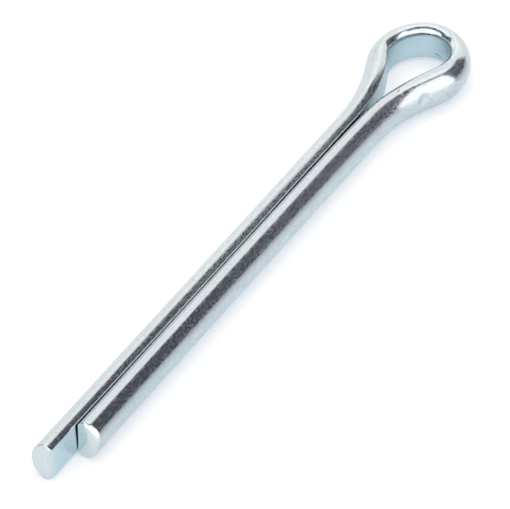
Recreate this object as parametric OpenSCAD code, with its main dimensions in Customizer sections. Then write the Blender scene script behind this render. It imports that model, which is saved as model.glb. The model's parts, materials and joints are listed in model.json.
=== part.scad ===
// Cotter pin (split pin): one length of half-round wire folded back on itself.
// The two legs lie flat to flat and make a round shank along +X.
// The fold opens into a pear-shaped eye towards -X, and one leg is longer than the other.
// The pin lies flat, so the eye's hole runs along Z.
// The origin is on the shank's axis at the neck, where both legs have become straight.

/* [Wire] */
// Diameter of the round shank that the two half-round legs make together
shank_d = 4.4; // [3:0.1:6]
// Space left between the flat faces of the two legs
leg_gap = 0.2; // [0.1:0.05:0.3]
// Radius of the two long edges where the wire's flat face meets its round back
edge_r = 0.5; // [0.2:0.05:0.5]

/* [Legs] */
// Length of the shorter leg, from the neck to its end
short_leg_l = 48; // [20:1:90]
// How far the longer leg reaches past the shorter one
leg_step = 4; // [1:0.5:8]
// Depth of the worn bevel around each leg's end, measured along the leg
end_bevel_l = 0.35; // [0.1:0.05:1]
// Depth of the same bevel, measured towards the shank's axis
end_bevel_r = 0.45; // [0.1:0.05:1]

/* [Eye] */
// Clear width of the eye between its two sides
eye_w = 5.5; // [4.5:0.1:9]
// How much larger the radius of the eye's sides is than half its width
eye_side_extra = 0.85; // [0.4:0.05:2]
// How much smaller the radius of the eye's far end is than half its width
eye_end_less = 0.45; // [0.2:0.05:1]
// How far the eye sits off the shank's axis, towards the shorter leg
eye_shift = 0.1; // [-0.3:0.05:0.3]
// Angle between the eye's tapering sides and the shank
neck_angle = 24.5; // [20:0.5:32]
// Straight stretch of the taper on the longer leg's side
long_taper_l = 0.3; // [0.1:0.1:2]
// Straight stretch of the taper on the shorter leg's side
short_taper_l = 2.5; // [0.1:0.1:2.5]

/* [Hidden] */
$fn = 40;

shank_r = shank_d / 2;
// Distance of each leg's flat face from the shank's axis.
flat_y = leg_gap / 2;

// Bends between stretches are this much thinner, and run this far into them.
lap_inset = 0.01;
lap_l = 0.05;

// The wire's section is drawn with its flat face on the Y axis and its round back towards +X.
// The round back keeps its centre on the shank's axis, so both legs share one cylinder.
edge_y = sqrt(pow(shank_r - edge_r, 2) - pow(flat_y + edge_r, 2));
back_angle = atan2(edge_y, flat_y + edge_r);

// The eye's flat face follows an end arc, a larger side arc, a straight taper and a neck arc.
end_r = eye_w / 2 - eye_end_less;
side_r = eye_w / 2 + eye_side_extra;
blend_angle = acos(eye_side_extra / (eye_side_extra + eye_end_less));

// Height above the shank's axis at which a side's taper ends and its neck arc begins.
function taper_foot_y(shift, taper_l) =
    shift - eye_side_extra + side_r * cos(neck_angle) - taper_l * sin(neck_angle);

// Radius of the neck arc that brings a side from its taper onto its leg.
function neck_r(shift, taper_l) =
    (taper_foot_y(shift, taper_l) - flat_y) / (1 - cos(neck_angle));

// Distance along X from the eye's far end to the start of a side's straight leg.
function reach(shift, taper_l) =
    end_r + (side_r - end_r) * sin(blend_angle) + side_r * sin(neck_angle)
    + taper_l * cos(neck_angle) + neck_r(shift, taper_l) * sin(neck_angle);

eye_end_x = -max(reach(eye_shift, short_taper_l), reach(-eye_shift, long_taper_l));

// Half-round section with a flat face and rounded edges, drawn smaller all round by an inset.
module wire_section(inset = 0) {
    flat_end = (flat_y + inset) * tan(back_angle);
    beyond = 2 * shank_r;
    ray = [beyond * cos(back_angle) - flat_y, beyond * sin(back_angle)];
    intersection() {
        translate([-flat_y, 0]) circle(r = shank_r - inset);
        polygon([
            [inset, -flat_end], [ray.x, -ray.y], [beyond, -ray.y],
            [beyond, ray.y], ray, [inset, flat_end]
        ]);
    }
    translate([inset, -edge_y]) square([edge_r - inset, 2 * edge_y]);
    for (side = [-1, 1])
        translate([edge_r, side * edge_y]) circle(r = edge_r - inset);
}

// Straight wire along +X from the origin, with its flat face on the plane Y = 0.
module straight_wire(length) {
    rotate([90, 0, 90]) linear_extrude(height = length) wire_section();
}

// Bent wire around the Z axis, with its flat face at the given radius.
// The round back faces away from the axis, or towards it for an inward bend.
module bent_wire(radius, from_angle, turn, inward = false, inset = 0) {
    rotate_extrude(angle = turn, start = from_angle)
        translate([radius, 0])
            mirror([inward ? 1 : 0, 0])
                wire_section(inset);
}

// A bend between two thicker stretches, run a little way into both of them.
module joining_bend(radius, from_angle, turn, inward = false) {
    lap_angle = lap_l / radius * 180 / PI;
    bent_wire(radius, from_angle - lap_angle, turn + 2 * lap_angle, inward, lap_inset);
}

// Straight leg along +X, with its end bevelled around the shank's axis.
module leg(start_x, end_x) {
    wire_l = end_x - start_x;
    body_l = wire_l - end_bevel_l;
    intersection() {
        translate([start_x, flat_y, 0]) straight_wire(wire_l);
        translate([start_x, 0, 0]) rotate([0, 90, 0]) {
            translate([0, 0, -1]) cylinder(h = body_l + 1, r = shank_d);
            translate([0, 0, body_l])
                cylinder(h = end_bevel_l, r1 = shank_r + 0.05, r2 = shank_r - end_bevel_r);
        }
    }
}

// One leg and its side of the eye, lying on the +Y side of the shank's axis.
module pin_side(leg_l, shift, taper_l) {
    bend_r = neck_r(shift, taper_l);
    side_c = [eye_end_x + end_r, shift] + (side_r - end_r) * [sin(blend_angle), -cos(blend_angle)];
    taper_top = side_c + side_r * [sin(neck_angle), cos(neck_angle)];
    taper_foot = taper_top + taper_l * [cos(neck_angle), -sin(neck_angle)];
    neck_c = taper_foot + bend_r * [sin(neck_angle), cos(neck_angle)];

    translate(side_c) joining_bend(side_r, 90 - neck_angle, blend_angle + neck_angle);
    translate(taper_top) rotate([0, 0, -neck_angle]) straight_wire(taper_l);
    translate(neck_c) joining_bend(bend_r, 270 - neck_angle, neck_angle, inward = true);
    leg(neck_c.x, leg_l);
}

// The whole pin: the short leg is on the +Y side and the long leg on the -Y side.
module pin() {
    color([0.74, 0.79, 0.83]) {
        translate([eye_end_x + end_r, eye_shift])
            bent_wire(end_r, 90 + blend_angle, 180 - 2 * blend_angle);
        pin_side(short_leg_l, eye_shift, short_taper_l);
        mirror([0, 1, 0])
            pin_side(short_leg_l + leg_step, -eye_shift, long_taper_l);
    }
}

pin();
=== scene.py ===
"""A cotter pin of bright zinc-plated wire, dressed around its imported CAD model.

The pin is one length of half-round wire. Its spine is a chain of straight and bent stretches,
worked out from the same few sizes as the solid. A Geometry Nodes tree sweeps the wire's section
along that spine, rounds its sheared ends and presses its dents. One plated finish covers it.
"""

import json
import logging
import math
from dataclasses import asdict, dataclass, fields
from enum import Enum
from typing import Mapping, Optional, Sequence, Union

import bpy
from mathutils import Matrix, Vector


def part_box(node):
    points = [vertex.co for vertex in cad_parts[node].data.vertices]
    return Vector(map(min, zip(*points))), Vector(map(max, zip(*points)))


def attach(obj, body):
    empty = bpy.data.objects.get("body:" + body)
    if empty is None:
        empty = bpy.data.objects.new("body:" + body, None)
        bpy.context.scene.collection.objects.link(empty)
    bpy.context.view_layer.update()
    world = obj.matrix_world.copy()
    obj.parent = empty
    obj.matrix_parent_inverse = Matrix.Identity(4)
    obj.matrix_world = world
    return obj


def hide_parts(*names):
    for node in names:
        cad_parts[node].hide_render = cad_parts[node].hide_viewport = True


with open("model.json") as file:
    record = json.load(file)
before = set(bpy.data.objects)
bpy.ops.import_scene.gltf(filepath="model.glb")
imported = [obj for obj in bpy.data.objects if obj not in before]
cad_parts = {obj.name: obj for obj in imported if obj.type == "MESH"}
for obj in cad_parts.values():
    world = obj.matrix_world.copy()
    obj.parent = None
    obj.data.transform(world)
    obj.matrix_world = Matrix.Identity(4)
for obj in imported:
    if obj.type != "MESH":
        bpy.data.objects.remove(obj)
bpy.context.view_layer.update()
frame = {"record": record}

LOG = logging.getLogger("cotter_pin")

MM = 0.001
DEGREES_PER_RADIAN = 180.0 / math.pi
QUARTER_TURN = math.pi / 2.0
UP = (0.0, 0.0, 1.0)
END_DOME = 0.08 * MM
NODE_NAME = "pin"

Point2 = tuple[float, float]
Point3 = tuple[float, float, float]
Shade = tuple[float, float, float]
Inputs = Mapping[Union[str, int], object]


def grey(level: float) -> Shade:
    """Return a colour whose three parts are equal."""
    return level, level, level


# ---------- Node trees as Python expressions ----------


class Join(Enum):
    """Ways to combine two vectors."""

    SUM = "ADD"
    PRODUCT = "MULTIPLY"
    CROSS = "CROSS_PRODUCT"
    DISTANCE = "DISTANCE"


class Kept(Enum):
    """Kinds of value that a mesh keeps at its points."""

    NUMBER = "FLOAT"
    VECTOR = "FLOAT_VECTOR"


@dataclass
class Value:
    """A socket of a node tree, on which Python operators add Math nodes."""

    graph: "Graph"
    socket: bpy.types.NodeSocket

    def _math(self, operation: str, *others: "Operand") -> "Value":
        """Add one Math node that starts from this value, by Blender's name of its operation."""
        inputs = {place: operand for place, operand in enumerate((self, *others))}
        return self.graph.add("ShaderNodeMath", inputs, operation=operation).out(0)

    def __add__(self, other: "Operand") -> "Value":
        """Return the sum."""
        return self._math("ADD", other)

    __radd__ = __add__

    def __sub__(self, other: "Operand") -> "Value":
        """Return the difference."""
        return self._math("SUBTRACT", other)

    def __rsub__(self, other: float) -> "Value":
        """Return a plain number less this value."""
        return self * -1.0 + other

    def __mul__(self, other: "Operand") -> "Value":
        """Return the product."""
        return self._math("MULTIPLY", other)

    __rmul__ = __mul__

    def __truediv__(self, other: "Operand") -> "Value":
        """Return the quotient."""
        return self._math("DIVIDE", other)

    def __pow__(self, other: "Operand") -> "Value":
        """Return the power."""
        return self._math("POWER", other)

    def least(self, other: "Operand") -> "Value":
        """Return the smaller of two values."""
        return self._math("MINIMUM", other)

    def most(self, other: "Operand") -> "Value":
        """Return the larger of two values."""
        return self._math("MAXIMUM", other)

    def above(self, limit: "Operand") -> "Value":
        """Return 1 where the value is above the limit, and 0 elsewhere."""
        return self._math("GREATER_THAN", limit)

    def sine(self) -> "Value":
        """Return the sine of the value in radians."""
        return self._math("SINE")

    def cosine(self) -> "Value":
        """Return the cosine of the value in radians."""
        return self._math("COSINE")

    def root(self) -> "Value":
        """Return the square root."""
        return self._math("SQRT")

    def arcsine(self) -> "Value":
        """Return the angle in radians whose sine is the value."""
        return self._math("ARCSINE")

    def size(self) -> "Value":
        """Return the value without its sign."""
        return self._math("ABSOLUTE")

    def arctan2(self, other: "Operand") -> "Value":
        """Return the angle whose sine side is this value and whose cosine side is the other."""
        return self._math("ARCTAN2", other)

    def span(self, low: "Operand", high: "Operand", smooth: bool = False) -> "Value":
        """Return how far the value has come from low to high, held between 0 and 1.

        Args:
            low: Where the result is 0.
            high: Where the result is 1.
            smooth: Whether the result eases in and out.

        Returns:
            The share between 0 and 1.
        """
        form = "SMOOTHSTEP" if smooth else "LINEAR"
        inputs = {"Value": self, "From Min": low, "From Max": high}
        return self.graph.add("ShaderNodeMapRange", inputs, interpolation_type=form).out(0)


Operand = Union[Value, float]
Colour = Union[Value, Shade]


@dataclass
class Made:
    """A node that a graph has added, with its outputs as values."""

    graph: "Graph"
    node: bpy.types.Node

    def out(self, name: Union[str, int] = 0) -> Value:
        """Return one output by its name or place."""
        return Value(self.graph, self.node.outputs[name])


@dataclass
class Graph:
    """A shader, world or geometry tree that is built by calls and expressions."""

    tree: bpy.types.NodeTree

    def add(self, kind: str, inputs: Optional[Inputs] = None, **settings: object) -> Made:
        """Add a node.

        Args:
            kind: The node's type.
            inputs: The values or links of its sockets, by name or place.
            settings: The node's own settings, which are set first.

        Returns:
            The added node.
        """
        node = self.tree.nodes.new(kind)
        for name, setting in settings.items():
            setattr(node, name, setting)
        for name, value in (inputs or {}).items():
            self.feed(node.inputs[name], value)
        return Made(self, node)

    def feed(self, socket: bpy.types.NodeSocket, value: object) -> None:
        """Give a socket its link or its own value.

        Args:
            socket: The input socket.
            value: A Value to link, or a plain value to set, with colours given as shades.
        """
        if isinstance(value, Value):
            self.tree.links.new(value.socket, socket)
        elif socket.type == "RGBA":
            socket.default_value = (*value, 1.0)
        else:
            socket.default_value = value

    def vector(self, x: Operand, y: Operand, z: Operand) -> Value:
        """Join three numbers into a vector."""
        return self.add("ShaderNodeCombineXYZ", {"X": x, "Y": y, "Z": z}).out()

    def parts(self, vector: Value) -> tuple[Value, Value, Value]:
        """Return a vector's three numbers."""
        split = self.add("ShaderNodeSeparateXYZ", {0: vector})
        return split.out("X"), split.out("Y"), split.out("Z")

    def join(self, way: Join, first: Value, second: Union[Value, Point3]) -> Value:
        """Combine two vectors with one Vector Math node."""
        node = self.add("ShaderNodeVectorMath", {0: first, 1: second}, operation=way.value)
        return node.out("Value" if way is Join.DISTANCE else "Vector")

    def scaled(self, vector: Value, factor: Operand) -> Value:
        """Return a vector times a number."""
        return self.add("ShaderNodeVectorMath", {0: vector, "Scale": factor}, operation="SCALE").out()

    def mix(self, factor: Operand, first: Colour, second: Colour) -> Value:
        """Return a colour between two colours.

        Args:
            factor: How far the result is on its way from the first to the second.
            first: The colour at a factor of 0.
            second: The colour at a factor of 1.

        Returns:
            The mixed colour.
        """
        node = self.add("ShaderNodeMix", data_type="RGBA").node
        for name, value in {"Factor": factor, "A": first, "B": second}.items():
            kind = "VALUE" if name == "Factor" else "RGBA"
            socket = next(s for s in node.inputs if s.name == name and s.type == kind)
            self.feed(socket, value)
        return Value(self, next(s for s in node.outputs if s.type == "RGBA"))


def emptied(owner: Union[bpy.types.Material, bpy.types.World]) -> Graph:
    """Empty the node tree of a material or world.

    Args:
        owner: The material or world.

    Returns:
        The tree as a graph.
    """
    owner.use_nodes = True
    owner.node_tree.nodes.clear()
    return Graph(owner.node_tree)


def added(name: str, data: bpy.types.ID) -> bpy.types.Object:
    """Add an object to the scene.

    Args:
        name: The object's name.
        data: Its mesh, curve or camera.

    Returns:
        The new object.
    """
    made = bpy.data.objects.new(name, data)
    bpy.context.collection.objects.link(made)
    return made


# ---------- The wire's spine ----------


@dataclass(frozen=True)
class Stretch:
    """One stretch of the spine: straight, or bent to a radius by an angle.

    A positive turn bends to the left as the wire is followed.
    """

    length: float = 0.0
    radius: float = 0.0
    turn: float = 0.0

    def points(self, start: Point2, heading: float, step: float) -> list[Point2]:
        """Return the points after the start, close enough together for a smooth sweep.

        Args:
            start: Where the stretch begins.
            heading: The direction there, in radians.
            step: The longest distance between two points.

        Returns:
            The points up to and including the stretch's end.
        """
        run = abs(self.radius * self.turn) if self.turn else self.length
        count = max(2, math.ceil(run / step))
        made = []
        for index in range(1, count + 1):
            share = index / count
            if self.turn:
                side = math.copysign(self.radius, self.turn)
                angle = heading + self.turn * share
                x = start[0] + side * (math.sin(angle) - math.sin(heading))
                y = start[1] + side * (math.cos(heading) - math.cos(angle))
            else:
                x = start[0] + share * self.length * math.cos(heading)
                y = start[1] + share * self.length * math.sin(heading)
            made.append((x, y))
        return made


@dataclass
class SideOfPin:
    """One leg with its side of the eye, as the spine's sizes on that side.

    The leg's flat face stands off the pin's middle plane by its nearest gap at one place along
    the leg, and bows away from there. Its section is turned a little about the spine: the twists
    list places along the pin in millimetres, and the turn there in degrees, with the top leaning
    outwards.
    """

    leg_end_x: float
    eye_shift: float
    taper_length: float
    nearest_x: float
    nearest_gap: float
    neck_bow_radius: float
    end_bow_radius: float
    twists: tuple[Point2, ...]

    def bow_radius(self, x: float) -> float:
        """Return the radius to which the leg is bowed at a place along it."""
        return self.neck_bow_radius if x < self.nearest_x else self.end_bow_radius

    def gap(self, x: float) -> float:
        """Return the leg's gap to the middle plane at a place along it."""
        return self.nearest_gap + (x - self.nearest_x) ** 2.0 / (2.0 * self.bow_radius(x))

    def slope(self, x: float) -> float:
        """Return the leg's slope away from the middle plane, in radians."""
        return (x - self.nearest_x) / self.bow_radius(x)

    def twist(self, x: float) -> float:
        """Return the section's turn at a place along the leg, in radians.

        Args:
            x: The place along the pin.

        Returns:
            The turn, eased from each listed place to the next.
        """
        before, held = self.twists[0][0] * MM, self.twists[0][1]
        for place, turn in self.twists[1:]:
            after = place * MM
            if x < after:
                share = max(x - before, 0.0) / (after - before)
                eased = share * share * (3.0 - 2.0 * share)
                return math.radians(held + (turn - held) * eased)
            before, held = after, turn
        return math.radians(held)


@dataclass
class Spine:
    """The line that the wire's flat face follows, from the short leg's end to the long leg's."""

    short: SideOfPin
    long: SideOfPin
    eye_end_x: float
    eye_half_width: float
    eye_side_extra: float = 0.85 * MM
    eye_end_less: float = 0.45 * MM
    neck_angle: float = math.radians(24.5)
    neck_rounds: int = 20
    end_clearance: float = 0.002 * MM
    step: float = 0.08 * MM

    @property
    def end_radius(self) -> float:
        """Radius of the arc at the eye's far end."""
        return self.eye_half_width - self.eye_end_less

    @property
    def side_radius(self) -> float:
        """Radius of the arcs at the eye's sides."""
        return self.eye_half_width + self.eye_side_extra

    @property
    def blend_angle(self) -> float:
        """Angle at which a side arc hands over to the end arc."""
        return math.acos(self.eye_side_extra / (self.eye_side_extra + self.eye_end_less))

    def _neck(self, side: SideOfPin) -> tuple[float, float]:
        """Work out a side's neck bend, which depends on where the leg starts and the reverse.

        Args:
            side: The side of the pin.

        Returns:
            The radius of the bend, and the place along X where the leg starts.
        """
        sine, cosine = math.sin(self.neck_angle), math.cos(self.neck_angle)
        crown = side.eye_shift - self.eye_side_extra + self.side_radius * cosine
        foot = crown - side.taper_length * sine
        foot_x = self.eye_end_x + self.end_radius
        foot_x += side.taper_length * cosine + self.side_radius * sine
        foot_x += (self.side_radius - self.end_radius) * math.sin(self.blend_angle)
        radius, start = 0.0, foot_x
        for _ in range(self.neck_rounds):
            slope = side.slope(start)
            radius = (foot - side.gap(start)) / (math.cos(slope) - cosine)
            start = foot_x + radius * (sine + math.sin(slope))
        return radius, start

    def _half(self, side: SideOfPin) -> list[Point2]:
        """Return one side's points, laid out on the +Y side.

        Args:
            side: The side of the pin.

        Returns:
            The points from the eye's far end to the leg's end.
        """
        neck_radius, leg_start = self._neck(side)
        end_x = side.leg_end_x - END_DOME - self.end_clearance
        nearest_x = min(side.nearest_x, end_x)
        neck_bow, end_bow = side.neck_bow_radius, side.end_bow_radius
        stretches = [
            Stretch(radius=self.end_radius, turn=self.blend_angle - QUARTER_TURN),
            Stretch(radius=self.side_radius, turn=-self.blend_angle - self.neck_angle),
            Stretch(length=side.taper_length),
            Stretch(radius=neck_radius, turn=self.neck_angle + side.slope(leg_start)),
            Stretch(radius=neck_bow, turn=(nearest_x - leg_start) / neck_bow),
            Stretch(radius=end_bow, turn=(end_x - nearest_x) / end_bow),
        ]
        place, heading = (self.eye_end_x, side.eye_shift), QUARTER_TURN
        made = [place]
        for stretch in stretches:
            if not (stretch.turn or stretch.length):
                continue
            made += stretch.points(place, heading, self.step)
            place, heading = made[-1], heading + stretch.turn
        return made

    def knots(self) -> list[tuple[Vector, float]]:
        """Lay the spine out in the plane Z = 0.

        Returns:
            The spine's points, each with the section's turn there.
        """
        short, long = self._half(self.short), self._half(self.long)
        short_half = [(Vector((x, y, 0.0)), self.short.twist(x)) for x, y in short]
        long_half = [(Vector((x, -y, 0.0)), self.long.twist(x)) for x, y in long]
        return short_half[::-1] + long_half[1:]


# ---------- The sweep ----------


@dataclass(frozen=True)
class Dent:
    """A shallow pressed mark on the wire, sized in millimetres."""

    place: Point3
    radius: float
    depth: float
    towards: Point3


@dataclass(frozen=True)
class CutEnd:
    """How far the shears rolled the rim of a cut end over.

    The rim is crisp all round but for one side, which is given as an angle from straight up
    towards the flat face, and where the broad roll comes on top. A higher focus narrows the
    side that the broad roll takes up.
    """

    crisp: float
    broad: float
    broad_side: float
    focus: float = 4.0


@dataclass(frozen=True)
class Corner:
    """What drawing and closing the pin leave of one corner of the half-round.

    From the flat face outwards it is an edge, a broad shoulder and a crest, each an arc that
    touches the next, sized in millimetres. The shoulder runs from a steep slope at the edge to
    a gentle one at the crest, which touches the round back. Slopes are in degrees.
    """

    edge_radius: float
    shoulder_radius: float
    crest_radius: float
    steep_slope: float
    gentle_slope: float


@dataclass
class WireSection:
    """The half-round section, its corners, and how its ends are worn."""

    back_radius: float
    back_offset: float
    eye_thinning: float = 0.1 * MM
    leg_corner: Corner = Corner(0.30, 2.64, 0.16, steep_slope=44.0, gentle_slope=30.0)
    eye_corner: Corner = Corner(0.95, 1.50, 0.20, steep_slope=40.0, gentle_slope=25.0)
    under_corner: Corner = Corner(0.65, 0.65, 0.65, steep_slope=44.0, gentle_slope=30.0)
    short_eye_from_x: float = -10.0 * MM
    short_eye_by_x: float = -13.2 * MM
    long_eye_from_x: float = -8.0 * MM
    long_eye_by_x: float = -12.0 * MM
    short_end: CutEnd = CutEnd(0.12 * MM, 0.50 * MM, math.radians(-58.0))
    long_end: CutEnd = CutEnd(0.12 * MM, 0.70 * MM, math.radians(112.0))
    end_centre: float = 1.0 * MM
    end_margin: float = 1.3 * MM
    rows: int = 760
    around: int = 104
    cap_rows: int = 8
    roll_rows: int = 10
    eye_crowding: float = 0.65
    weld: float = 0.0005 * MM


class SweptWire:
    """Geometry Nodes that sweep the half-round section along a spine.

    FLAT, EDGE, SHOULDER and CREST are the shares of half the outline at which the flat face and
    the corner's three arcs end.
    """

    SIZE_INPUTS = (
        *("back_radius", "back_offset", "eye_thinning", "end_centre", "end_margin"),
        *("short_eye_from_x", "short_eye_by_x", "long_eye_from_x", "long_eye_by_x"),
    )
    CORNERS = ("leg_corner", "eye_corner", "under_corner")
    FLAT, EDGE, SHOULDER, CREST = 0.12, 0.28, 0.42, 0.60

    def __init__(
        self, section: WireSection, dents: Sequence[Dent], material: bpy.types.Material
    ) -> None:
        """Build the tree.

        Args:
            section: The wire's section and the mesh's fineness.
            dents: The dents to press into the wire.
            material: The finish of every face.
        """
        self.section = section
        self.dents = dents
        self.material = material
        self.tree = bpy.data.node_groups.new("swept_wire", "GeometryNodeTree")
        self.graph = Graph(self.tree)
        kinds = {"Geometry": "Geometry", **{name: "Float" for name in self._settings()}}
        kinds.update({"Rows": "Int", "Around": "Int", "Finish": "Material"})
        for name, kind in kinds.items():
            self.tree.interface.new_socket(name, in_out="INPUT", socket_type="NodeSocket" + kind)
        self.tree.interface.new_socket("Geometry", in_out="OUTPUT", socket_type="NodeSocketGeometry")
        self._build()

    def _settings(self) -> dict[str, float]:
        """List the sizes that the tree takes as inputs.

        Returns:
            The sizes in metres and radians, by the names of the inputs.
        """
        settings = {name: getattr(self.section, name) for name in self.SIZE_INPUTS}
        for name in self.CORNERS:
            for part, size in asdict(getattr(self.section, name)).items():
                settings[f"{name} {part}"] = math.radians(size) if "slope" in part else size * MM
        return settings

    def _corner(self, sizes: Mapping[str, Value], in_eye: Value, upper: Value) -> dict[str, Value]:
        """Return the corner that holds at a point.

        Args:
            sizes: The tree's inputs.
            in_eye: 0 in the legs and 1 in the eye.
            upper: 1 on the upper half of the outline, and 0 on the lower.

        Returns:
            The corner's sizes by name.
        """
        corner = {}
        for part in fields(Corner):
            leg, eye, under = (sizes[f"{name} {part.name}"] for name in self.CORNERS)
            corner[part.name] = under + (leg + (eye - leg) * in_eye - under) * upper
        return corner

    def _outline(
        self, turn: Value, back: Value, offset: Value, corner: Mapping[str, Value]
    ) -> tuple[Value, Value, Value]:
        """Return a point of the section's outline.

        The outline runs from the middle of the flat face over the upper edge, shoulder, crest
        and back to the lower ones. Each stretch is an arc that touches the next, so a point is
        its arc's centre and the arc's radius in the direction of the normal.

        Args:
            turn: How far round the outline the point is, from 0 to 1.
            back: The radius of the round back.
            offset: How far the back's centre lies beyond the flat face.
            corner: The sizes of the corner between them.

        Returns:
            The distance outwards from the flat face, the height, and the normal's angle from
            straight up towards the flat face.
        """
        edge, shoulder, crest = (corner[name + "_radius"] for name in ("edge", "shoulder", "crest"))
        steep, level = corner["steep_slope"], corner["gentle_slope"]
        crest_out = edge + (shoulder - edge) * steep.sine() - (shoulder - crest) * level.sine()
        outer = ((crest_out + offset) / (back - crest)).arcsine() * -1.0
        crest_up = (back - crest) * outer.cosine()
        shoulder_out = crest_out + (shoulder - crest) * level.sine()
        shoulder_up = crest_up - (shoulder - crest) * level.cosine()
        edge_up = shoulder_up + (shoulder - edge) * steep.cosine()

        half = 1.0 - (turn * 2.0 - 1.0).size()
        sign = 1.0 - turn.above(0.5) * 2.0
        bounds = (self.EDGE, self.SHOULDER, self.CREST)
        on_shoulder, on_crest, on_back = (half.above(bound) for bound in bounds)

        def choose(first: Operand, second: Operand, third: Operand, fourth: Operand) -> Value:
            """Return the size that holds on this point's arc."""
            chosen = first * (1.0 - on_shoulder) + second * (on_shoulder - on_crest)
            return chosen + third * (on_crest - on_back) + fourth * on_back

        normal = QUARTER_TURN - half.span(self.FLAT, self.EDGE) * (QUARTER_TURN - steep)
        normal = normal - half.span(self.EDGE, self.SHOULDER) * (steep - level)
        normal = normal - half.span(self.SHOULDER, self.CREST) * (level - outer)
        normal = normal - half.span(self.CREST, 1.0) * (outer + QUARTER_TURN)
        radius = choose(edge, shoulder, crest, back)
        out = choose(edge, shoulder_out, crest_out, offset * -1.0) - radius * normal.sine()
        level_up = choose(edge_up * half.span(0.0, self.FLAT), shoulder_up, crest_up, 0.0)
        return out, (level_up + radius * normal.cosine()) * sign, normal

    def _rim_roll(self, normal: Value, upper: Value, at_long_end: Value) -> Value:
        """Return how far the rim of the nearer cut end is rolled over at a point of the outline.

        Args:
            normal: The outline's normal, as an angle from straight up towards the flat face, or
                from straight down on the lower half.
            upper: 1 on the upper half of the outline, and 0 on the lower.
            at_long_end: 1 in the half of the wire that ends in the long leg.

        Returns:
            The radius of the rolled rim.
        """
        rolls = []
        for end in (self.section.short_end, self.section.long_end):
            high = math.cos(end.broad_side) * (upper * 2.0 - 1.0)
            towards = high * normal.cosine() + normal.sine() * math.sin(end.broad_side)
            share = towards.most(0.0) ** end.focus
            rolls.append(share * end.broad + end.crisp)
        return rolls[0] * (1.0 - at_long_end) + rolls[1] * at_long_end

    def _build(self) -> None:
        """Build the whole tree."""
        graph, section = self.graph, self.section
        start = graph.add("NodeGroupInput")
        sizes = {name: start.out(name) for name in self._settings()}
        rows, around = start.out("Rows"), start.out("Around")
        grid_sizes = {"Size X": 1.0, "Size Y": 1.0, "Vertices X": rows, "Vertices Y": around}
        grid = graph.add("GeometryNodeMeshGrid", grid_sizes)
        across, round_it, _ = graph.parts(graph.add("GeometryNodeInputPosition").out())
        row, turn = (across + 0.5) * (rows - 1.0), round_it + 0.5
        upper = 1.0 - turn.above(0.5)

        cap, roll = float(section.cap_rows), float(section.roll_rows)
        length = graph.add("GeometryNodeCurveLength", {0: start.out("Geometry")}).out()
        from_end = row.least(rows - 1.0 - row)
        fill = from_end.span(0.0, cap)
        rolled = (1.0 - from_end.span(cap, cap + roll)) * QUARTER_TURN
        at_end = 1.0 - from_end.above(cap + roll + 0.5)
        at_long_end = row.above(rows * 0.5)
        ahead_sign = at_long_end * 2.0 - 1.0

        share = row.span(cap + roll + 1.0, rows - (cap + roll + 2.0))
        crowded = share + (share * math.tau).sine() * (section.eye_crowding / math.tau)
        margin = sizes["end_margin"]
        along = margin + crowded * (length - margin * 2.0)
        along = along * (1.0 - at_end) + length * at_long_end * at_end

        tilt = graph.add("GeometryNodeInputCurveTilt").out()
        wanted = {"Curves": start.out("Geometry"), "Value": tilt, "Length": along}
        sample = graph.add("GeometryNodeSampleCurve", wanted, mode="LENGTH")
        ahead, twist = sample.out("Tangent"), sample.out("Value")
        x, _, _ = graph.parts(sample.out("Position"))
        blend = {}
        for name in ("eye_by_x", "eye_from_x"):
            short, long = sizes["short_" + name], sizes["long_" + name]
            blend[name] = short + (long - short) * at_long_end
        in_eye = 1.0 - x.span(blend["eye_by_x"], blend["eye_from_x"], smooth=True)
        corner = self._corner(sizes, in_eye, upper)
        back = sizes["back_radius"] - sizes["eye_thinning"] * in_eye
        out, up, normal = self._outline(turn, back, sizes["back_offset"], corner)

        rim = self._rim_roll(normal, upper, at_long_end)
        inwards = out - sizes["end_centre"]
        reach = (inwards * inwards + up * up).root()
        keep = (1.0 - rim * (1.0 - rolled.cosine()) / reach) * fill
        keep = keep * at_end + (1.0 - at_end)
        out = sizes["end_centre"] + inwards * keep
        up = up * keep
        domed = (1.0 - fill * fill) * END_DOME
        beyond = (domed - rim * (1.0 - rolled.sine())) * ahead_sign * at_end

        outward = graph.join(Join.CROSS, ahead, UP)
        turned_out = out * twist.cosine() + up * twist.sine()
        turned_up = up * twist.cosine() - out * twist.sine()
        spot = graph.join(Join.SUM, sample.out("Position"), graph.scaled(outward, turned_out))
        spot = graph.join(Join.SUM, spot, graph.vector(0.0, 0.0, turned_up))
        spot = graph.join(Join.SUM, spot, graph.scaled(ahead, beyond))

        kept = {
            "wire_place": (Kept.VECTOR, graph.vector(along + beyond, out, up)),
            "flatness": (Kept.NUMBER, self._flatness(turn)),
            "cut_face": (Kept.NUMBER, at_end * rolled * (1.0 / QUARTER_TURN)),
        }
        self._finish(self._remember(grid.out("Mesh"), kept), spot, start.out("Finish"))

    def _finish(self, mesh: Value, spot: Value, finish: Value) -> None:
        """Move the grid's points into place, close and dent the wire, and dress it.

        Args:
            mesh: The flat grid.
            spot: Where each of its points goes.
            finish: The material of every face.
        """
        graph = self.graph
        shaped = graph.add("GeometryNodeSetPosition", {"Geometry": mesh, "Position": spot}).out()
        welding = {"Geometry": shaped, "Distance": self.section.weld}
        wire = graph.add("GeometryNodeMergeByDistance", welding).out()
        for dent in self.dents:
            wire = self._press(wire, dent)
        facing_out = graph.add("GeometryNodeFlipFaces", {"Mesh": wire}).out()
        shading = {"Geometry": facing_out, "Shade Smooth": True}
        smooth = graph.add("GeometryNodeSetShadeSmooth", shading).out()
        real = graph.add("GeometryNodeRealizeInstances", {"Geometry": smooth}).out()
        dressed = graph.add("GeometryNodeSetMaterial", {"Geometry": real, "Material": finish}).out()
        graph.add("NodeGroupOutput", {"Geometry": dressed})

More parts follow.
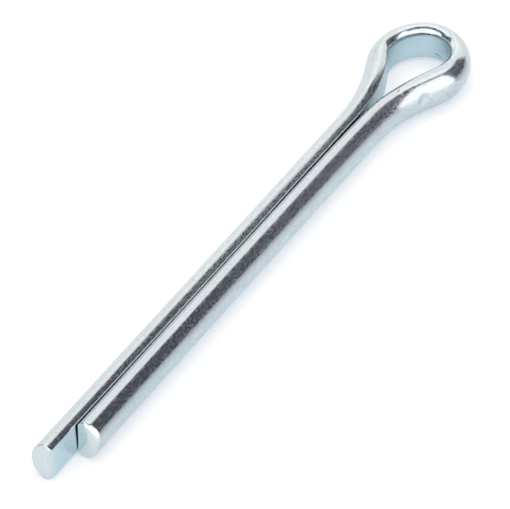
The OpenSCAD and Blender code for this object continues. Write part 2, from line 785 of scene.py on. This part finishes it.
    def _flatness(self, turn: Value) -> Value:
        """Return 1 on the wire's flat face and 0 on the rest, with a quick change at the edge."""
        half = 1.0 - (turn * 2.0 - 1.0).size()
        return 1.0 - half.span(self.FLAT, (self.FLAT + self.EDGE) / 2.0)

    def _remember(self, mesh: Value, kept: Mapping[str, tuple[Kept, Value]]) -> Value:
        """Store fields as named attributes of the mesh's points.

        Args:
            mesh: The mesh so far.
            kept: The kind and the value of each attribute, by its name.

        Returns:
            The mesh with the attributes.
        """
        for name, (kind, value) in kept.items():
            inputs = {"Geometry": mesh, "Name": name, "Value": value}
            stored = self.graph.add("GeometryNodeStoreNamedAttribute", inputs, data_type=kind.value)
            mesh = stored.out()
        return mesh

    def _press(self, mesh: Value, dent: Dent) -> Value:
        """Press one dent into the wire.

        Args:
            mesh: The wire so far.
            dent: The dent's place, size and direction.

        Returns:
            The wire with the dent.
        """
        graph = self.graph
        spot = graph.add("GeometryNodeInputPosition").out()
        far = graph.join(Join.DISTANCE, spot, tuple(size * MM for size in dent.place))
        share = 1.0 - far.span(0.0, dent.radius * MM, smooth=True)
        direction = Vector(dent.towards).normalized() * (dent.depth * MM)
        push = graph.scaled(graph.vector(*direction), share)
        return graph.add("GeometryNodeSetPosition", {"Geometry": mesh, "Offset": push}).out()

    def sweep(self, knots: Sequence[tuple[Vector, float]], name: str) -> bpy.types.Object:
        """Sweep the section along a spine and return it as a plain mesh object.

        Args:
            knots: The spine's points, each with the section's turn there.
            name: The name of the piece.

        Returns:
            The finished piece, at the origin.
        """
        spine = bpy.data.curves.new(name + "_spine", "CURVE")
        spine.dimensions = "3D"
        spline = spine.splines.new("POLY")
        spline.points.add(len(knots) - 1)
        for point, (place, twist) in zip(spline.points, knots):
            point.co = (*place, 1.0)
            point.tilt = twist
        guide = added(name + "_guide", spine)
        modifier = guide.modifiers.new("sweep", "NODES")
        modifier.node_group = self.tree
        settings: dict[str, object] = {"Rows": self.section.rows, "Around": self.section.around + 1}
        settings.update(self._settings(), Finish=self.material)
        for item in self.tree.interface.items_tree:
            if item.in_out == "INPUT" and item.name in settings:
                modifier[item.identifier] = settings[item.name]
        graph = bpy.context.evaluated_depsgraph_get()
        mesh = bpy.data.meshes.new_from_object(guide.evaluated_get(graph), depsgraph=graph)
        mesh.name = name
        bpy.data.objects.remove(guide)
        bpy.data.curves.remove(spine)
        return added(name, mesh)


# ---------- The finish ----------


@dataclass(frozen=True)
class Pattern:
    """A soft noise over the wire, of a number of grains per millimetre.

    A stretch below 1 draws the grains out along the wire.
    """

    scale: float
    detail: float
    stretch: float = 1.0
    offset: Point3 = (0.0, 0.0, 0.0)
    roughness: float = 0.55

    def noise(self, graph: Graph, place: Value) -> Value:
        """Return the noise, from 0 to 1.

        Args:
            graph: The finish's tree.
            place: The place on the wire, in millimetres.

        Returns:
            The noise at that place.
        """
        drawn_out = graph.join(Join.PRODUCT, place, (self.stretch, 1.0, 1.0))
        moved = graph.join(Join.SUM, drawn_out, self.offset)
        inputs = {"Vector": moved, "Scale": self.scale, "Detail": self.detail}
        return graph.add("ShaderNodeTexNoise", {**inputs, "Roughness": self.roughness}).out(0)


@dataclass(frozen=True)
class Bloom:
    """A stretch of the wire whose plating is clouded, in millimetres along the wire."""

    centre: float
    reach: float
    strength: float = 1.0
    full_share: float = 0.2

    def share(self, along: Value) -> Value:
        """Return how clouded the plating is at a place along the wire."""
        far = (along - self.centre).size()
        return (1.0 - far.span(self.reach * self.full_share, self.reach, smooth=True)) * self.strength


@dataclass(frozen=True)
class Scuff:
    """A small round spot where the plating was scraped, sized in millimetres."""

    place: Point3
    radius: float
    full_share: float = 0.5

    def share(self, graph: Graph, place: Value) -> Value:
        """Return 1 on the spot and 0 away from it, with a soft edge."""
        far = graph.join(Join.DISTANCE, place, self.place)
        return 1.0 - far.span(self.radius * self.full_share, self.radius)


@dataclass(frozen=True)
class ZincPlate:
    """Bright zinc plating over drawn steel wire.

    The plating mirrors. Over it lies a coat of dull speckle, which is thickest where the plating
    has bloomed and never less than the least haze. Drawing lines run along the wire, and faint
    warm and cool blotches and scattered pits vary it. The flat faces, which lay against each other
    in the bath, carry a blue-green film, and painted shade darkens it at the necks of the eye.
    Patterns are laid out in the wire's own lengthwise and crosswise distances, and scuffs by their
    places on the pin, all in millimetres. A span gives the values between which a pattern sets in,
    and a full bloom lowers the speckle's span by the bloom's spread.
    """

    colour: Shade = (0.640, 0.688, 0.704)
    warm_blotch: Shade = (0.665, 0.678, 0.690)
    cool_blotch: Shade = (0.600, 0.690, 0.712)
    flat_film: Shade = (0.630, 0.765, 0.820)
    neck_film: Shade = (0.200, 0.310, 0.340)
    # Painted shade: the dark colour that the flat faces' film is darkened to at the necks of the eye.
    cut_film: Shade = (0.800, 0.820, 0.825)
    pit_colour: Shade = (0.50, 0.52, 0.54)
    scuff_colour: Shade = (0.180, 0.240, 0.270)

    grain: Pattern = Pattern(scale=6.0, detail=2.0, stretch=0.5)
    warm_clouds: Pattern = Pattern(scale=0.9, detail=1.0)
    cool_clouds: Pattern = Pattern(scale=1.8, detail=1.0, offset=(31.0, 7.0, 3.0))
    drawing_lines: Pattern = Pattern(scale=5.0, detail=3.0, stretch=0.03)
    warm_span: Point2 = (0.50, 0.70)
    cool_span: Point2 = (0.52, 0.70)
    line_span: Point2 = (0.45, 0.75)
    speckle_span: Point2 = (0.47, 0.63)

    smooth_roughness: float = 0.110
    grain_roughness: float = 0.07
    line_roughness: float = 0.06
    pit_roughness: float = 0.15
    haze_roughness: float = 0.45
    haze_ior: float = 2.6
    least_haze: float = 0.5
    grain_shade: float = 0.45
    grain_middle: float = 0.5

    long_leg_bloom: Bloom = Bloom(centre=96.0, reach=32.0)
    short_leg_bloom: Bloom = Bloom(centre=44.0, reach=38.0, strength=0.75)
    bloom_spread: float = 0.10

    # Where painted shade darkens the flat faces, in millimetres along the wire: most at the necks,
    # none in the eye's middle or along the legs.
    eye_middle: float = 66.6
    bend_reach: float = 5.0
    neck_start: float = 14.0
    neck_end: float = 17.0
    neck_fade: float = 24.0
    bend_share: float = 0.60
    throat_share: float = 0.40

    pit_scale: float = 3.0
    pit_radius: float = 0.08
    pit_rarity: float = 0.90
    pit_strength: float = 0.6
    grain_depth: float = 0.0003 * MM
    line_depth: float = 0.0004 * MM
    pit_depth: float = 0.014 * MM

    scuff_strength: float = 0.7
    scuffs: tuple[Scuff, ...] = (
        Scuff((-14.74, 0.10, -0.90), 0.12),
        Scuff((-14.74, 0.24, -0.92), 0.12),
        Scuff((-14.74, 0.37, -0.97), 0.12),
        Scuff((-14.73, 0.50, -1.03), 0.12),
        Scuff((-14.72, 0.61, -1.10), 0.12),
        Scuff((-4.99, 1.48, 1.92), 0.10),
        Scuff((-5.14, 1.50, 1.93), 0.13),
        Scuff((-5.29, 1.51, 1.95), 0.11),
    )

    def material(self) -> bpy.types.Material:
        """Build the finish's material.

        Returns:
            The material, laid out on the wire's own attributes.
        """
        made = bpy.data.materials.new("zinc_plate")
        graph = emptied(made)
        place = graph.add("ShaderNodeAttribute", attribute_name="wire_place").out("Vector")
        place = graph.scaled(place, 1.0 / MM)
        along, _, _ = graph.parts(place)
        grain = self.grain.noise(graph, place)
        line = self.drawing_lines.noise(graph, place)
        pit = self._pits(graph, place)
        bloom = self.long_leg_bloom.share(along) + self.short_leg_bloom.share(along)
        speckle_from, speckle_to = self.speckle_span
        lowered = bloom * self.bloom_spread
        speckle = grain.span(speckle_from - lowered, speckle_to - lowered, smooth=True)

        roughness = speckle * self.grain_roughness + self.smooth_roughness
        roughness = roughness + line.span(*self.line_span) * self.line_roughness
        relief = grain * self.grain_depth + line * self.line_depth - pit * self.pit_depth
        bump = graph.add("ShaderNodeBump", {"Height": relief, "Strength": 1.0, "Distance": 1.0})
        inputs = {
            "Base Color": self._colour(graph, place, along, grain, pit),
            "Metallic": 1.0,
            "Roughness": roughness + pit * self.pit_roughness,
            "Coat Weight": speckle * (bloom * (1.0 - self.least_haze) + self.least_haze),
            "Coat Roughness": self.haze_roughness,
            "Coat IOR": self.haze_ior,
            "Normal": bump.out(),
        }
        shader = graph.add("ShaderNodeBsdfPrincipled", inputs)
        graph.add("ShaderNodeOutputMaterial", {"Surface": shader.out()})
        return made

    def _colour(self, graph: Graph, place: Value, along: Value, grain: Value, pit: Value) -> Value:
        """Return the plating's colour, film by film.

        Args:
            graph: The finish's tree.
            place: The place on the wire, in millimetres.
            along: The distance along the wire.
            grain: The grain's noise.
            pit: 1 in a pit and 0 away from it.

        Returns:
            The colour.
        """
        flatness = graph.add("ShaderNodeAttribute", attribute_name="flatness").out("Fac")
        cut = graph.add("ShaderNodeAttribute", attribute_name="cut_face").out("Fac")
        warm = self.warm_clouds.noise(graph, place).span(*self.warm_span)
        cool = self.cool_clouds.noise(graph, place).span(*self.cool_span)
        colour = graph.mix(warm, self.colour, self.warm_blotch)
        colour = graph.mix(cool, colour, self.cool_blotch)
        # Painted shade: the flat faces' blue-green film is darkened towards the necks of the eye.
        film = graph.mix(self._neck(along), self.flat_film, self.neck_film)
        colour = graph.mix(flatness * (1.0 - cut), colour, film)
        colour = graph.mix(cut, colour, self.cut_film)
        colour = graph.scaled(colour, 1.0 + (grain - self.grain_middle) * self.grain_shade)
        colour = graph.mix(pit * self.pit_strength, colour, self.pit_colour)
        return graph.mix(self._scuffed(graph) * self.scuff_strength, colour, self.scuff_colour)

    def _neck(self, along: Value) -> Value:
        """Work out how far painted shade darkens the flat faces' film, most at the necks of the eye.

        Args:
            along: The distance along the wire, in millimetres.

        Returns:
            The share of painted shade: 1 at the necks, and 0 along the legs and in the eye's middle.
        """
        off_middle = (along - self.eye_middle).size()
        bend = off_middle.span(0.0, self.bend_reach, smooth=True) * self.bend_share
        throat = off_middle.span(self.bend_reach, self.neck_start) * self.throat_share
        return bend + throat - off_middle.span(self.neck_end, self.neck_fade)

    def _scuffed(self, graph: Graph) -> Value:
        """Mark the few small spots that were scraped.

        Args:
            graph: The finish's tree.

        Returns:
            1 on the spots and 0 away from them.
        """
        place = graph.scaled(graph.add("ShaderNodeTexCoord").out("Object"), 1.0 / MM)
        total: Operand = 0.0
        for scuff in self.scuffs:
            total = scuff.share(graph, place).most(total)
        return total

    def _pits(self, graph: Graph, place: Value) -> Value:
        """Scatter a few pits over the plating.

        Args:
            graph: The finish's tree.
            place: The place on the wire, in millimetres.

        Returns:
            1 in the middle of each pit and 0 away from them.
        """
        inputs = {"Vector": place, "Scale": self.pit_scale, "Randomness": 1.0}
        cells = graph.add("ShaderNodeTexVoronoi", inputs)
        lot, _, _ = graph.parts(cells.out("Color"))
        near = 1.0 - cells.out("Distance").span(0.0, self.pit_radius * self.pit_scale, smooth=True)
        return near * lot.above(self.pit_rarity)


# ---------- The pin ----------


@dataclass
class CotterPin:
    """The pin's piece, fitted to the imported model's box and shank."""

    shank_radius: float
    low: Vector
    high: Vector
    leg_step: float = 4.0 * MM
    eye_shift: float = 0.1 * MM
    back_offset: float = 0.05 * MM
    back_wear: float = 0.05 * MM
    finish: ZincPlate = ZincPlate()

    def spine(self) -> Spine:
        """Lay out the spine between the sides of the model's box.

        Returns:
            The spine of the whole wire.
        """
        wire_thickness = self.shank_radius - self.back_wear - self.back_offset
        short = SideOfPin(
            leg_end_x=self.high.x - self.leg_step,
            eye_shift=self.eye_shift,
            taper_length=2.5 * MM,
            nearest_x=8.0 * MM,
            nearest_gap=0.008 * MM,
            neck_bow_radius=400.0 * MM,
            end_bow_radius=13000.0 * MM,
            twists=((-15.5, 0.0), (-12.5, -5.0), (-9.5, -4.0), (-5.5, 2.5), (-2.5, 1.5), (1.0, 0.0)),
        )
        at_neck = ((-12.5, 0.0), (-9.0, -1.0), (-5.5, -1.5), (-2.0, 1.1), (3.0, 2.2))
        along_leg = ((8.0, 2.9), (22.0, 0.5), (34.0, 0.0), (48.0, 1.8))
        long = SideOfPin(
            leg_end_x=self.high.x,
            eye_shift=-self.eye_shift,
            taper_length=0.3 * MM,
            nearest_x=75.0 * MM,
            nearest_gap=0.0,
            neck_bow_radius=36000.0 * MM,
            end_bow_radius=36000.0 * MM,
            twists=at_neck + along_leg,
        )
        return Spine(
            short=short,
            long=long,
            eye_end_x=self.low.x + wire_thickness,
            eye_half_width=(self.high.y - self.low.y) / 2.0 - wire_thickness,
        )

    def dents(self) -> list[Dent]:
        """List the dents that the bending tools left.

        Returns:
            The dimple beside the eye, the nick at one neck and the fleck at the other.
        """
        dimple = Dent((-6.83, 3.32, 0.42), radius=0.84, depth=0.160, towards=(-0.385, -0.905, -0.170))
        nick = Dent((-5.16, 1.50, 1.92), radius=0.26, depth=0.070, towards=(-0.138, -0.518, -0.844))
        fleck = Dent((-8.75, -1.80, 0.44), radius=0.25, depth=0.050, towards=(0.322, -0.947, 0.005))
        return [dimple, nick, fleck]

    def build(self) -> bpy.types.Object:
        """Make the pin's piece.

        Returns:
            The swept wire.
        """
        back_radius = self.shank_radius - self.back_wear
        section = WireSection(back_radius=back_radius, back_offset=self.back_offset)
        wire = SweptWire(section, self.dents(), self.finish.material())
        return wire.sweep(self.spine().knots(), "pin_wire")


# ---------- The studio ----------


@dataclass(frozen=True)
class Panel:
    """One panel of the studio, which stands on the ground, as bearings and heights in degrees.

    Bearings are counted from the camera's side towards its right. The top edge drops by some
    degrees of height for each degree of bearing. The start edge leans back by some degrees of
    bearing for each degree of height. The softness of an edge is the width of its blur.
    """

    start: float
    end: float
    top: float
    colour: Shade
    drop: float = 0.0
    lean: float = 0.0
    side_softness: float = 4.0
    end_softness: float = 4.0
    top_softness: float = 4.0

    def mask(self, bearing: Value, height: Value) -> Value:
        """Return 1 inside the panel and 0 outside, with soft edges.

        Args:
            bearing: The bearing of the direction.
            height: Its height above the floor.

        Returns:
            The mask.
        """
        side, far, rise = self.side_softness / 2.0, self.end_softness / 2.0, self.top_softness / 2.0
        leaned = bearing + height * self.lean
        across = leaned.span(self.start - side, self.start + side, smooth=True)
        across = across * (1.0 - bearing.span(self.end - far, self.end + far, smooth=True))
        top = self.top + (bearing - self.start) * -self.drop
        return across * (1.0 - (height - top).span(-rise, rise, smooth=True))


@dataclass(frozen=True)
class Tent:
    """The light tent over the pin, open towards the camera, with a dark rim round its opening.

    The tent is a part of the sky about an axis that leans away from the camera. Angles are in
    degrees, the first one a height above the floor and the others counted from the axis. The
    tent brightens from its middle towards its rim, late where the power is high.
    """

    axis_height: float = 46.7
    middle: float = 30.0
    rim_inner: float = 59.0
    rim_outer: float = 79.0
    softness: float = 5.0
    brightening_power: float = 2.0
    middle_colour: Shade = grey(1.06)
    edge_colour: Shade = grey(1.75)
    rim_colour: Shade = (0.11, 0.115, 0.14)
    front_colour: Shade = grey(1.45)

    def colour(self, graph: Graph, towards_camera: Value, upwards: Value) -> Value:
        """Return the tent's colour in a direction.

        Args:
            graph: The world's tree.
            towards_camera: The direction's level part towards the camera.
            upwards: The direction's upright part.

        Returns:
            The colour.
        """
        lean = math.radians(self.axis_height)
        facing = upwards * math.sin(lean) - towards_camera * math.cos(lean)
        angle = (QUARTER_TURN - facing.arcsine()) * DEGREES_PER_RADIAN
        half = self.softness / 2.0
        brightened = angle.span(self.middle, self.rim_inner) ** self.brightening_power
        on_rim = angle.span(self.rim_inner - half, self.rim_inner + half, smooth=True)
        past_rim = angle.span(self.rim_outer - half, self.rim_outer + half, smooth=True)
        inside = graph.mix(brightened, self.middle_colour, self.edge_colour)
        return graph.mix(past_rim, graph.mix(on_rim, inside, self.rim_colour), self.front_colour)


@dataclass(frozen=True)
class FloorLook:
    """The floor's matte colour, and the glow that keeps it pale."""

    matte: Shade
    glow: Shade

    def shader(self, graph: Graph) -> Value:
        """Add the look's shader.

        Args:
            graph: The floor material's tree.

        Returns:
            The shader.
        """
        matte = graph.add("ShaderNodeBsdfDiffuse", {"Color": self.matte}).out()
        glow = graph.add("ShaderNodeEmission", {"Color": self.glow, "Strength": 1.0}).out()
        return graph.add("ShaderNodeAddShader", {0: matte, 1: glow}).out()


@dataclass
class Studio:
    """Floor, light and camera."""

    floor_z: float
    floor_half: float = 0.6
    seen_floor: FloorLook = FloorLook(matte=(0.62, 0.56, 0.47), glow=(0.42, 0.48, 0.57))
    mirrored_floor: FloorLook = FloorLook(matte=(0.42, 0.43, 0.42), glow=(0.38, 0.45, 0.50))
    floor_gloss_roughness: float = 0.3
    floor_gloss_ior: float = 1.35
    target: Point3 = (19.45 * MM, 0.82 * MM, 0.0)
    azimuth: float = 30.74
    elevation: float = 40.73
    distance: float = 484.0 * MM
    lens: float = 383.9
    sensor: float = 36.0
    nearest: float = 0.01
    farthest: float = 10.0
    tent: Tent = Tent()
    panels: tuple[Panel, ...] = (
        Panel(-181.0, -145.0, 42.0, grey(1.29)),
        Panel(145.0, 181.0, 42.0, grey(1.29)),
        Panel(-181.0, -145.0, 19.0, grey(1.05), top_softness=14.0),
        Panel(132.0, 181.0, 19.0, grey(1.05), top_softness=14.0),
        Panel(-181.0, -135.0, 4.0, grey(0.86), top_softness=12.0),
        Panel(135.0, 181.0, 4.0, grey(0.86), top_softness=12.0),
        Panel(
            start=-130.0,
            end=-76.0,
            top=30.0,
            colour=(0.11, 0.13, 0.17),
            side_softness=8.0,
            end_softness=8.0,
            top_softness=8.0,
        ),
        Panel(58.0, 88.0, 50.0, grey(1.5)),
        Panel(
            start=86.0,
            end=130.0,
            top=52.8,
            colour=(0.085, 0.088, 0.11),
            drop=0.45,
            lean=0.15,
            side_softness=1.5,
            end_softness=5.0,
        ),
    )
    overhead_from: float = 25.0
    overhead_to: float = 65.0
    overhead_strength: float = 2.0

    def camera(self) -> bpy.types.Object:
        """Place the camera and make it the scene's.

        Returns:
            The camera.
        """
        turn, lift = math.radians(self.azimuth), math.radians(self.elevation)
        level = math.cos(lift)
        back = Vector((level * math.cos(turn), level * math.sin(turn), math.sin(lift)))
        data = bpy.data.cameras.new("camera")
        data.lens = self.lens
        data.sensor_width = self.sensor
        data.clip_start = self.nearest
        data.clip_end = self.farthest
        made = added("camera", data)
        made.location = Vector(self.target) + back * self.distance
        made.rotation_euler = back.to_track_quat("Z", "Y").to_euler()
        bpy.context.scene.camera = made
        return made

    def floor(self) -> bpy.types.Object:
        """Lay the pale floor under the pin.

        Returns:
            The floor.
        """
        half = self.floor_half
        corners = [(-half, -half), (half, -half), (half, half), (-half, half)]
        mesh = bpy.data.meshes.new("floor")
        mesh.from_pydata([(x, y, self.floor_z) for x, y in corners], [], [(0, 1, 2, 3)])
        mesh.materials.append(self._floor_material())
        made = added("floor", mesh)
        return made

    def _floor_material(self) -> bpy.types.Material:
        """Build the floor's material, which the pin mirrors a little darker than it is seen.

        Returns:
            The material.
        """
        made = bpy.data.materials.new("floor")
        graph = emptied(made)
        seen, mirrored = self.seen_floor.shader(graph), self.mirrored_floor.shader(graph)
        shine = {"Color": grey(1.0), "Roughness": self.floor_gloss_roughness}
        gloss = graph.add("ShaderNodeBsdfGlossy", shine).out()
        grazing = graph.add("ShaderNodeFresnel", {"IOR": self.floor_gloss_ior}).out()
        mirrored = graph.add("ShaderNodeMixShader", {0: grazing, 1: mirrored, 2: gloss}).out()
        by_camera = graph.add("ShaderNodeLightPath").out("Is Camera Ray")
        both = graph.add("ShaderNodeMixShader", {0: by_camera, 1: mirrored, 2: seen}).out()
        graph.add("ShaderNodeOutputMaterial", {"Surface": both})
        return made

    def world(self) -> None:
        """Light the studio all round, with the panels that the bright metal mirrors."""
        world = bpy.data.worlds.new("studio")
        bpy.context.scene.world = world
        graph = emptied(world)
        x, y, z = graph.parts(graph.add("ShaderNodeTexCoord").out("Generated"))
        ahead, aside = math.cos(math.radians(self.azimuth)), math.sin(math.radians(self.azimuth))
        towards_camera = x * ahead + y * aside
        bearing = (y * ahead - x * aside).arctan2(towards_camera) * DEGREES_PER_RADIAN
        height = z.arcsine() * DEGREES_PER_RADIAN
        colour = self.tent.colour(graph, towards_camera, z)
        for panel in self.panels:
            colour = graph.mix(panel.mask(bearing, height), colour, panel.colour)
        path = graph.add("ShaderNodeLightPath")
        mirrored = graph.add("ShaderNodeBackground", {"Color": colour, "Strength": 1.0}).out()
        overhead = height.span(self.overhead_from, self.overhead_to, smooth=True)
        lighting = path.out("Is Diffuse Ray") * (overhead * self.overhead_strength - 1.0) + 1.0
        plain = graph.add("ShaderNodeBackground", {"Color": grey(1.0), "Strength": lighting}).out()
        shaders = {0: path.out("Is Glossy Ray"), 1: plain, 2: mirrored}
        both = graph.add("ShaderNodeMixShader", shaders).out()
        graph.add("ShaderNodeOutputWorld", {"Surface": both})


def main() -> None:
    """Build the pin and the studio, and report each piece."""
    logging.basicConfig(level=logging.INFO, format="%(message)s")
    low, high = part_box(NODE_NAME)
    mount = frame["record"]["mounts"][0]
    pin = CotterPin(shank_radius=mount["dims"]["r_mm"] * MM, low=Vector(low), high=Vector(high))
    piece = pin.build()
    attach(piece, "root")
    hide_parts(NODE_NAME)
    LOG.info("%s: %d faces", piece.name, len(piece.data.polygons))
    studio = Studio(floor_z=min(vertex.co.z for vertex in piece.data.vertices))
    studio.floor()
    studio.camera()
    studio.world()
    bpy.context.scene.view_settings.view_transform = "Standard"


if __name__ == "__main__":
    main()
